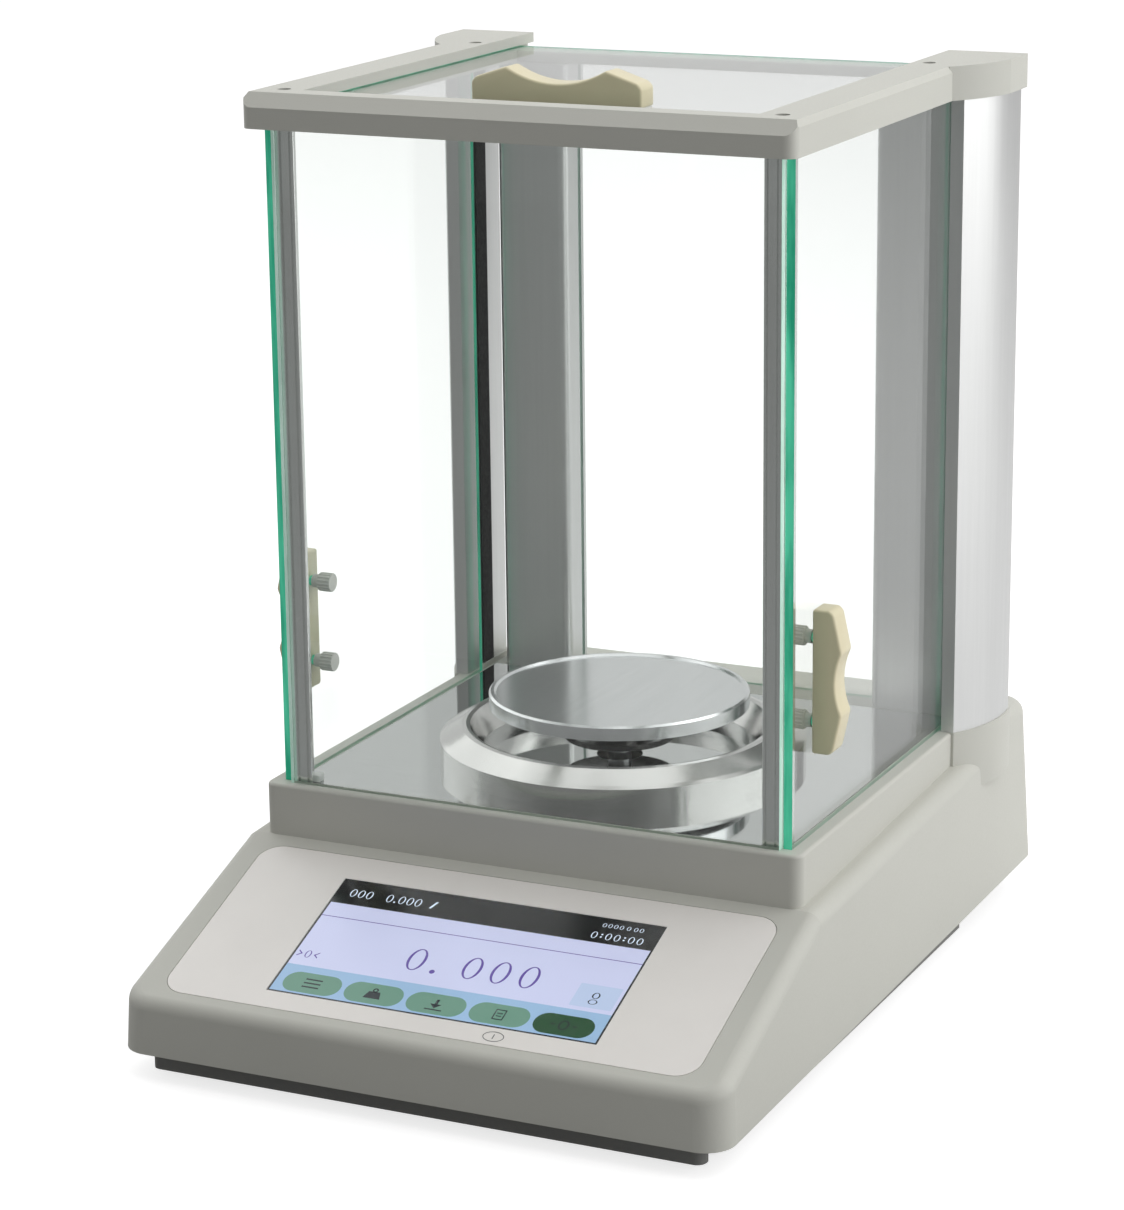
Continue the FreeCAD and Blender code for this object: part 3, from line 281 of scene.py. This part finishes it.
def finishes():
    """One material for each slot of the record."""
    low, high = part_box("pan")
    centre = ((low[0] + high[0]) / 2, (low[1] + high[1]) / 2, 0)
    grey, cream = (0.58, 0.58, 0.53), (0.76, 0.69, 0.47)
    return {
        "cover_plastic": moulded_plastic("cover_plastic", grey),
        "frame_plastic": moulded_plastic("frame_plastic", grey),
        "underside_plastic": moulded_plastic("underside_plastic", (0.25, 0.25, 0.24), 0.6),
        "panel_film": smooth_plastic("panel_film", (0.87, 0.84, 0.805), 0.38),
        "screen_glass": lit("screen_glass", (0.03, 0.035, 0.05), 0.1, 0.12),
        "lcd_metal": drawn_metal("lcd_metal", (0.6, 0.6, 0.6), 0.35, (1, 0.05, 1)),
        "board": circuit_board("board"),
        "cable_film": smooth_plastic("cable_film", (0.6, 0.58, 0.5)),
        "chip_plastic": moulded_plastic("chip_plastic", (0.02, 0.02, 0.02), 0.5),
        "mirror_steel": drawn_metal("mirror_steel", (0.60, 0.615, 0.61), 0.055, (0.06, 1, 1), 500,
                                    0.000004, 0.03),
        "pan_steel": drawn_metal("pan_steel", (0.74, 0.75, 0.76), 0.17, (1, 0.04, 1), 420,
                                 0.000012, 0.05),
        "ring_steel": turned_metal("ring_steel", (0.62, 0.615, 0.605), 0.16, centre),
        "post_metal": drawn_metal("post_metal", (0.82, 0.83, 0.82), 0.16, (1, 1, 0.03)),
        "column_metal": drawn_metal("column_metal", (0.72, 0.725, 0.72), 0.33, (1, 1, 0.03), 500,
                                    0.000012, 0.03),
        "seal_rubber": rubber("seal_rubber", (0.012, 0.012, 0.012)),
        "handle_plastic": smooth_plastic("handle_plastic", cream, 0.36),
        "nut_plastic": smooth_plastic("nut_plastic", (0.72, 0.72, 0.68), 0.4),
        "screw_steel": drawn_metal("screw_steel", (0.35, 0.35, 0.36), 0.3, (1, 1, 0.1)),
        "cell_metal": drawn_metal("cell_metal", (0.66, 0.67, 0.68), 0.32, (1, 0.05, 1)),
        "motor_iron": drawn_metal("motor_iron", (0.38, 0.38, 0.4), 0.3, (1, 1, 0.05)),
        "copper": drawn_metal("copper", (0.72, 0.30, 0.13), 0.3, (0.1, 0.1, 3), 600, 0.00008),
        "foot_rubber": rubber("foot_rubber", (0.02, 0.02, 0.02)),
        "brass_part": drawn_metal("brass_part", (0.75, 0.55, 0.25), 0.25, (1, 1, 0.1)),
        # the level's liquid keeps its own colour and is given a painted glow
        "level_liquid": lit("level_liquid", (0.35, 0.5, 0.08), 0.15),
        "port_plastic": moulded_plastic("port_plastic", (0.02, 0.02, 0.02), 0.45),
    }


GLASS_THIN = {"door_glass_left": "X", "door_glass_right": "X", "door_glass_top": "Z",
              "front_glass": "Y", "rear_glass": "Y"}


def dress_nodes(finish):
    """Every carried-over node gets the finish of its slot."""
    panes = {axis: clear_glass("glass_" + axis.lower(), axis) for axis in "XZ"}
    # the front and rear panes get paler edges with a weaker painted glow
    panes["Y"] = clear_glass("glass_y", "Y", (0.50, 0.72, 0.62), (0.66, 0.86, 0.77), 0.25)
    for item in frame["record"]["subparts"]:
        node, name = item["node"], item["material_slot"]
        material = panes[GLASS_THIN[node]] if node in GLASS_THIN else finish[name]
        for place in NODES[node].material_slots:
            place.material = material


# mesh building blocks

def piece(name, vertices, faces, material, body):
    mesh = bpy.data.meshes.new(name)
    mesh.from_pydata([tuple(point) for point in vertices], [], faces)
    mesh.validate()
    made = bpy.data.objects.new(name, mesh)
    bpy.context.scene.collection.objects.link(made)
    mesh.materials.append(material)
    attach(made, body)
    return made


def shade_soft(made, angle=40):
    for polygon in made.data.polygons:
        polygon.use_smooth = True
    made.data.set_sharp_from_angle(angle=math.radians(angle))


def prism(name, outline, low, high, to_world, material, body, bevel=0.0, segments=3):
    """A slab of the outline, from low to high along the third axis, with rounded edges."""
    count = len(outline)
    points = [to_world(x, y, level) for level in (low, high) for x, y in outline]
    faces = [tuple(range(count))[::-1], tuple(range(count, 2 * count))]
    faces += [(turn, (turn + 1) % count, (turn + 1) % count + count, turn + count)
              for turn in range(count)]
    made = piece(name, points, faces, material, body)
    work = bmesh.new()
    work.from_mesh(made.data)
    bmesh.ops.recalc_face_normals(work, faces=work.faces)
    if bevel:
        sharp = [edge for edge in work.edges if edge.calc_face_angle(0) > math.radians(25)]
        bmesh.ops.bevel(work, geom=sharp, offset=bevel, segments=segments, affect="EDGES",
                        profile=0.5, clamp_overlap=True)
    work.to_mesh(made.data)
    work.free()
    shade_soft(made)
    return made


def rounded(x_low, x_high, y_low, y_high, radius, steps=8):
    """A rectangle with round corners."""
    corners = ((x_high - radius, y_low + radius, -90), (x_high - radius, y_high - radius, 0),
               (x_low + radius, y_high - radius, 90), (x_low + radius, y_low + radius, 180))
    return [(x + radius * math.cos(math.radians(start + 90 * step / steps)),
             y + radius * math.sin(math.radians(start + 90 * step / steps)))
            for x, y, start in corners for step in range(steps + 1)]


# the screen and the panel's print

def slope_frame():
    """A function from panel coordinates to the world: across, up the slope, out of it.

    Its origin is the middle of the lower edge of the screen, on the screen's face.
    """
    mesh = NODES["display_lens"].data
    top = max((polygon for polygon in mesh.polygons if polygon.normal.z > 0.5),
              key=lambda polygon: polygon.area)
    out = top.normal.copy()
    across = Vector((1, 0, 0))
    up = out.cross(across)
    face = [mesh.vertices[index].co.copy() for index in top.vertices]
    level = face[0].dot(out)
    rise = [vertex.co.dot(up) for vertex in mesh.vertices]
    side = [vertex.co.x for vertex in mesh.vertices]
    foot = up * min(rise) + out * level

    def to_world(x, y, z):
        return foot + across * x + up * y + out * z
    return to_world, max(side), max(rise) - min(rise)


def draw(name, shapes, level, material, to_world, thick=0.00002):
    """Flat printed or lit shapes, as one thin piece; each shape is (outline, hole or None)."""
    points, faces = [], []
    for outline, hole in shapes:
        first, count = len(points), len(outline)
        points += [to_world(x, y, level) for x, y in outline]
        if hole is None:
            faces.append(tuple(range(first, first + count)))
        else:
            points += [to_world(x, y, level) for x, y in hole]
            faces += [(first + turn, first + (turn + 1) % count,
                       first + count + (turn + 1) % count, first + count + turn)
                      for turn in range(count)]
    made = piece(name, points, faces, material, "chassis")
    solid = made.modifiers.new("thickness", "SOLIDIFY")
    solid.thickness = thick
    solid.offset = 1
    return made


def oval(x, y, wide, tall, lean=0.0, steps=40):
    return [(x + wide * math.cos(math.tau * step / steps)
             + lean * tall * math.sin(math.tau * step / steps),
             y + tall * math.sin(math.tau * step / steps)) for step in range(steps)]


def bar(x_low, x_high, y_low, y_high, lean=0.0):
    return [(x_low + lean * y_low, y_low), (x_high + lean * y_low, y_low),
            (x_high + lean * y_high, y_high), (x_low + lean * y_high, y_high)]


def numeral(x, y, wide, tall, weight, lean=0.0):
    """A zero whose sides are heavier than its top and bottom."""
    return (oval(x, y, wide, tall, lean), oval(x, y, wide - weight, tall - weight * 0.45, lean))


def screen():
    to_world, half, tall = slope_frame()
    header = 0.79 * tall
    pale = lit("screen_pale", (0.69, 0.73, 1.0), 1.0)
    band = lit("screen_band", (0.35, 0.55, 0.80), 1.0)
    dark = lit("screen_dark", (0.002, 0.002, 0.003), 0.05, 0.12)
    violet = lit("screen_violet", (0.12, 0.07, 0.38), 1.0)
    white = lit("screen_white", (0.75, 0.85, 1.0), 1.4)
    teal = lit("screen_teal", (0.14, 0.31, 0.23), 1.0)
    deep = lit("screen_green", (0.0, 0.06, 0.012), 0.8)
    ink = lit("screen_ink", (0.01, 0.03, 0.04), 0.05)
    sky = lit("screen_sky", (0.56, 0.68, 0.93), 1.0)
    edge = 0.7 * MM
    draw("screen_header", [(bar(-half, half, header, tall), None)], 0.01 * MM, dark, to_world)
    draw("screen_body", [(bar(-half + edge, half - edge, 0.24 * tall, header), None)],
         0.01 * MM, pale, to_world)
    draw("screen_keys_band", [(bar(-half + edge, half - edge, edge, 0.24 * tall), None)],
         0.01 * MM, band, to_world)
    draw("screen_rule", [(bar(-half + edge, half - edge, 0.669 * tall, 0.674 * tall), None)],
         0.04 * MM, violet, to_world)
    y, size = 0.43 * tall, 0.091 * tall
    zeros = [numeral(x * MM, y, 3.15 * MM, size, 0.95 * MM) for x in (-15.7, 4.2, 14.2, 24.4)]
    point = (oval(-8.3 * MM, y - size * 0.85, 0.95 * MM, 0.95 * MM), None)
    draw("screen_reading", zeros + [point], 0.04 * MM, violet, to_world)
    unit = numeral(49.1 * MM, 0.37 * tall, 1.35 * MM, 1.45 * MM, 0.5 * MM)
    tail = numeral(49.1 * MM, 0.318 * tall, 1.6 * MM, 1.15 * MM, 0.4 * MM)
    draw("screen_unit_box", [(rounded(42 * MM, 56.5 * MM, 0.27 * tall, 0.455 * tall, 0.4 * MM),
                              None)], 0.03 * MM, sky, to_world)
    draw("screen_unit", [unit, tail], 0.06 * MM, ink, to_world)
    zero_mark = numeral(-52.8 * MM, 0.335 * tall, 1.1 * MM, 1.8 * MM, 0.4 * MM)
    left = ([(x * MM, 0.335 * tall + y * MM) for x, y in
             ((-56.6, -1.5), (-54.8, 0), (-56.6, 1.5), (-56.6, 1), (-55.5, 0), (-56.6, -1))], None)
    right = ([(-105.6 * MM - x, y) for x, y in left[0]], None)
    draw("screen_zero_mark", [zero_mark, left, right], 0.04 * MM, violet, to_world)
    zeros = [(x, 0.89, 1.15, 1.9) for x in (-52, -49, -46, -38.5, -34, -31, -28)]
    zeros += [(x, 0.85, 1.05, 1.6) for x in (36.5, 41.5, 44.5, 49.5, 52.5)]
    zeros += [(x, 0.94, 0.7, 0.95) for x in (38, 40, 42, 44, 46.5, 49, 51)]
    marks = [numeral(x * MM, y * tall, wide * MM, high * MM, 0.36 * wide * MM)
             for x, y, wide, high in zeros]
    marks += [(oval(x * MM, y * tall, 0.35 * MM, 0.35 * MM), None)
              for x, y in ((39, 0.84), (39, 0.862), (47, 0.84), (47, 0.862), (-36.3, 0.865))]
    marks.append((bar(-43.4 * MM, -42.6 * MM, 0.86 * tall, 0.92 * tall, 0.4), None))
    draw("screen_header_marks", marks, 0.04 * MM, white, to_world)
    keys(to_world, half, tall, teal, deep, ink)


def keys(to_world, half, tall, teal, deep, ink):
    """Five soft keys with plain signs in place of words."""
    pitch, wide = 2 * (half - 2.6 * MM) / 5, 20.6 * MM
    for number in range(5):
        middle = -half + 2.6 * MM + pitch * (number + 0.5)
        shape = rounded(middle - wide / 2, middle + wide / 2, 0.024 * tall, 0.186 * tall,
                        0.0795 * tall)
        draw(f"soft_key_{number + 1}", [(shape, None)], 0.04 * MM, deep if number == 4 else teal,
             to_world)
        draw(f"soft_key_sign_{number + 1}", key_sign(number, middle, 0.105 * tall), 0.07 * MM,
             ink, to_world)


def key_sign(number, x, y):
    """A list, a weight, a drawer arrow, a sheet and a zero."""
    u = MM
    if number == 0:
        return [(bar(x - 3 * u, x + 3 * u, y + step * u, y + (step + 0.6) * u), None)
                for step in (-2.1, -0.3, 1.5)]
    if number == 1:
        return [([(x - 3 * u, y - 2.2 * u), (x + 3 * u, y - 2.2 * u), (x + 2 * u, y + 1 * u),
                  (x - 2 * u, y + 1 * u)], None), (oval(x, y + 1.7 * u, 1 * u, 1 * u),
                                                   oval(x, y + 1.7 * u, 0.5 * u, 0.5 * u))]
    if number == 2:
        return [([(x - 2 * u, y), (x, y - 2 * u), (x + 2 * u, y)], None),
                (bar(x - 0.5 * u, x + 0.5 * u, y, y + 2.2 * u), None),
                (bar(x - 3 * u, x + 3 * u, y - 2.9 * u, y - 2.4 * u), None)]
    if number == 3:
        return [(rounded(x - 1.9 * u, x + 1.9 * u, y - 2.4 * u, y + 2.4 * u, 0.3 * u),
                 rounded(x - 1.5 * u, x + 1.5 * u, y - 2.0 * u, y + 2.0 * u, 0.2 * u)),
                (bar(x - 1 * u, x + 1 * u, y - 0.9 * u, y - 0.5 * u), None),
                (bar(x - 1 * u, x + 1 * u, y + 0.4 * u, y + 0.8 * u), None)]
    return [(oval(x, y, 1.8 * u, 2.3 * u), oval(x, y, 1.2 * u, 1.7 * u)),
            (bar(x - 4.6 * u, x - 3 * u, y - 0.3 * u, y + 0.3 * u), None),
            (bar(x + 3 * u, x + 4.6 * u, y - 0.3 * u, y + 0.3 * u), None)]


def panel_print():
    """The power sign under the screen."""
    to_world = slope_frame()[0]
    ink = smooth_plastic("panel_ink", (0.05, 0.05, 0.05), 0.4)
    x, y = 24.8 * MM, -4.1 * MM
    draw("power_sign", [(oval(x, y, 3.6 * MM, 2.3 * MM), oval(x, y, 3.35 * MM, 2.05 * MM)),
                        (bar(x - 0.15 * MM, x + 0.15 * MM, y - 1.1 * MM, y + 1.1 * MM), None)],
         0.18 * MM, ink, to_world)


# handles

def arc(x, y, radius, start, end, steps=18):
    return [(x + radius * math.cos(math.radians(start + (end - start) * step / steps)),
             y + radius * math.sin(math.radians(start + (end - start) * step / steps)))
            for step in range(steps + 1)]


def grip_outline(half, end, crest, crest_at, dip, corner):
    """The outline of a handle along its length: low ends, two crests and a hollow between."""
    rise, reach = crest - dip, crest_at
    radius = (reach * reach + rise * rise) / (2 * rise)
    spread = math.degrees(math.asin(reach / radius))
    hollow = arc(0, dip + radius, radius, -90 + spread, -90 - spread, 20)
    return ([(-half, 0), (half, 0), (half, end - corner), (half - corner * 0.9, end)] + hollow
            + [(-half + corner * 0.9, end), (-half, end - corner)])


def handles(finish):
    cream = finish["handle_plastic"]
    low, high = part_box("door_handle_top")
    middle = (low[0] + high[0]) / 2
    outline = grip_outline((high[0] - low[0]) / 2, 8.0 * MM, high[2] - low[2], 17.5 * MM,
                           6.8 * MM, 1.6 * MM)
    top = prism("grip_top", outline, low[1], high[1],
                lambda x, y, z: Vector((middle + x, z, low[2] + y)), cream,
                "door_top", 0.9 * MM)
    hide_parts("door_handle_top")
    for side, sign in (("left", -1), ("right", 1)):
        low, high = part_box("door_handle_" + side)
        face = min(abs(low[0]), abs(high[0])) + AIR
        middle = (low[2] + high[2]) / 2
        outline = grip_outline((high[2] - low[2]) / 2, 7.4 * MM, abs(high[0] - low[0]) - AIR,
                               10.3 * MM, 7.9 * MM, 1.5 * MM)
        grip = prism("grip_" + side, outline, low[1], high[1],
                     lambda x, y, z, s=sign, f=face, m=middle: Vector((s * (f + y), z, m + x)),
                     cream, "door_" + side, 0.9 * MM)
        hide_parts("door_handle_" + side)


def post_clip():
    """The small clip at the foot of the left front post."""
    low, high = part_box("front_post_left")
    white = smooth_plastic("clip_plastic", (0.75, 0.76, 0.74), 0.4)
    prism("post_clip", rounded(high[0] - 1 * MM, high[0] + 2.2 * MM, high[1] - 4 * MM, high[1],
                               0.8 * MM), low[2], low[2] + 2.6 * MM,
          lambda x, y, z: Vector((x, y, z)), white, "chassis", 0.4 * MM)


def level_marks(finish):
    """The ring and the bubble of the spirit level."""
    low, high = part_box("level_vial")
    middle = Vector(((low[0] + high[0]) / 2, (low[1] + high[1]) / 2, high[2]))
    half = (high[0] - low[0]) / 2

    def to_world(x, y, z):
        return middle + Vector((x, y, z))
    ring = (oval(0, 0, 0.48 * half, 0.48 * half), oval(0, 0, 0.42 * half, 0.42 * half))
    draw("level_ring", [ring], 0.04 * MM, finish["seal_rubber"], to_world)
    # the bubble is painted light: a pale disc with a painted glow
    draw("level_bubble", [(oval(0.04 * half, 0.05 * half, 0.33 * half, 0.33 * half), None)],
         0.02 * MM, lit("level_bubble", (0.75, 0.85, 0.42), 0.3, 0.05), to_world)


# studio

def reflected(tree):
    """One on rays that have bounced off the object, and zero on direct or transmitted ones."""
    path = tree.nodes.new("ShaderNodeLightPath")
    bounces = tree.nodes.new("ShaderNodeMath")
    bounces.operation = "ADD"
    bounces.use_clamp = True
    tree.links.new(path.outputs["Diffuse Depth"], bounces.inputs[0])
    tree.links.new(path.outputs["Glossy Depth"], bounces.inputs[1])
    return bounces.outputs[0]


def studio():
    """A white backdrop. In reflections it fades from grey in front to pale behind."""
    world = bpy.data.worlds.new("studio")
    bpy.context.scene.world = world
    world.use_nodes = True
    tree = world.node_tree
    tree.nodes.clear()
    out = tree.nodes.new("ShaderNodeOutputWorld")
    sky = tree.nodes.new("ShaderNodeBackground")
    place = tree.nodes.new("ShaderNodeTexCoord")
    parts = tree.nodes.new("ShaderNodeSeparateXYZ")
    fade = tree.nodes.new("ShaderNodeMapRange")
    chosen = tree.nodes.new("ShaderNodeMix")
    tree.links.new(reflected(tree), chosen.inputs[0])
    chosen.inputs[2].default_value = BACKDROP
    tree.links.new(place.outputs["Generated"], parts.inputs[0])
    tree.links.new(parts.outputs["Y"], fade.inputs["Value"])
    for socket, value in zip(("From Min", "From Max", "To Min", "To Max"),
                             (-0.9, 0.3, 0.14, 0.72)):
        fade.inputs[socket].default_value = value
    tree.links.new(fade.outputs[0], chosen.inputs[3])
    tree.links.new(chosen.outputs[0], sky.inputs["Strength"])
    sky.inputs["Color"].default_value = (1, 1, 1, 1)
    tree.links.new(sky.outputs[0], out.inputs["Surface"])


def floor():
    """Pale paper that is lit from within for the camera; for rays that have bounced it is unlit
    and carries painted shade, grey in front and pale behind.
    """
    mesh = bpy.data.meshes.new("floor")
    corners = ((-1, -1), (1, -1), (1, 1), (-1, 1))
    mesh.from_pydata([(x * FLOOR_HALF, y * FLOOR_HALF, 0) for x, y in corners], [],
                     [(0, 1, 2, 3)])
    plane = bpy.data.objects.new("floor", mesh)
    bpy.context.scene.collection.objects.link(plane)
    shader = Shader("floor_paper", (0.5, 0.5, 0.5), 0.85, Specular_IOR_Level=0.1)
    own = shader.tinted(shader.noise(3, 3), 0.006)
    bounce = reflected(shader.tree)
    parts = shader.add("ShaderNodeSeparateXYZ")
    shader.link(shader.place, parts.inputs[0])
    beside = shader.add("ShaderNodeMath")
    beside.operation = "MULTIPLY_ADD"
    shader.link(parts.outputs["X"], beside.inputs[0])
    beside.inputs[1].default_value = 0.6
    shader.link(parts.outputs["Y"], beside.inputs[2])
    # painted shade for bounced rays: grey in front, pale behind
    card = shader.ramp(beside.outputs[0], 0, 1, -0.15, 0.3)
    shade = shader.blend(bounce, own, shader.blend(card, FLOOR_FRONT, FLOOR_REAR))
    shader.link(shade, shader.bsdf.inputs["Base Color"])
    shader.set(shader.bsdf, "Emission Color", (1, 1, 1, 1))
    shader.link(shader.ramp(bounce, 0.75, 0.0, 0, 1), shader.bsdf.inputs["Emission Strength"])
    mesh.materials.append(shader.material)


def lamp(name, place, target, size, power):
    data = bpy.data.lights.new(name, "AREA")
    data.shape = "RECTANGLE"
    data.size, data.size_y = size
    data.energy = power
    light = bpy.data.objects.new(name, data)
    bpy.context.scene.collection.objects.link(light)
    light.location = place
    light.rotation_euler = (Vector(target) - Vector(place)).to_track_quat("-Z", "Y").to_euler()
    light.visible_camera = False


def lights():
    middle = (0, 0, 0.16)
    lamp("right_softbox", (1.5, 0.25, 0.75), middle, (2.0, 2.4), 17.5)
    lamp("top_softbox", (0.1, 0.35, 1.6), middle, (2.4, 2.0), 9)
    lamp("left_softbox", (-1.4, 0.3, 0.7), middle, (1.4, 2.0), 5)
    lamp("front_fill", (-0.5, -1.6, 0.5), middle, (3.0, 2.0), 1.6)


def camera():
    """Turn, rise and tilt of the view in degrees, its place, and the lens."""
    turn, rise, tilt = (math.radians(angle) for angle in (CAMERA["turn"], CAMERA["rise"],
                                                          CAMERA["tilt"]))
    back = Vector((math.sin(turn) * math.cos(rise), -math.cos(turn) * math.cos(rise),
                   math.sin(rise)))
    right = (-back).cross(Vector((0, 0, 1))).normalized()
    up = right.cross(-back)
    across = right * math.cos(tilt) + up * math.sin(tilt)
    above = up * math.cos(tilt) - right * math.sin(tilt)
    data = bpy.data.cameras.new("camera")
    data.lens = CAMERA["lens"]
    data.sensor_width = 36
    data.clip_start = 0.05
    view = bpy.data.objects.new("camera", data)
    bpy.context.scene.collection.objects.link(view)
    basis = Matrix((across, above, back)).transposed().to_4x4()
    view.matrix_world = Matrix.Translation(Vector(CAMERA["place"])) @ basis
    bpy.context.scene.camera = view


def look():
    scene = bpy.context.scene
    scene.view_settings.view_transform = "Standard"
    scene.view_settings.exposure = 0.0


finish = finishes()
dress_nodes(finish)
screen()
panel_print()
handles(finish)
post_clip()
level_marks(finish)
studio()
floor()
lights()
camera()
look()
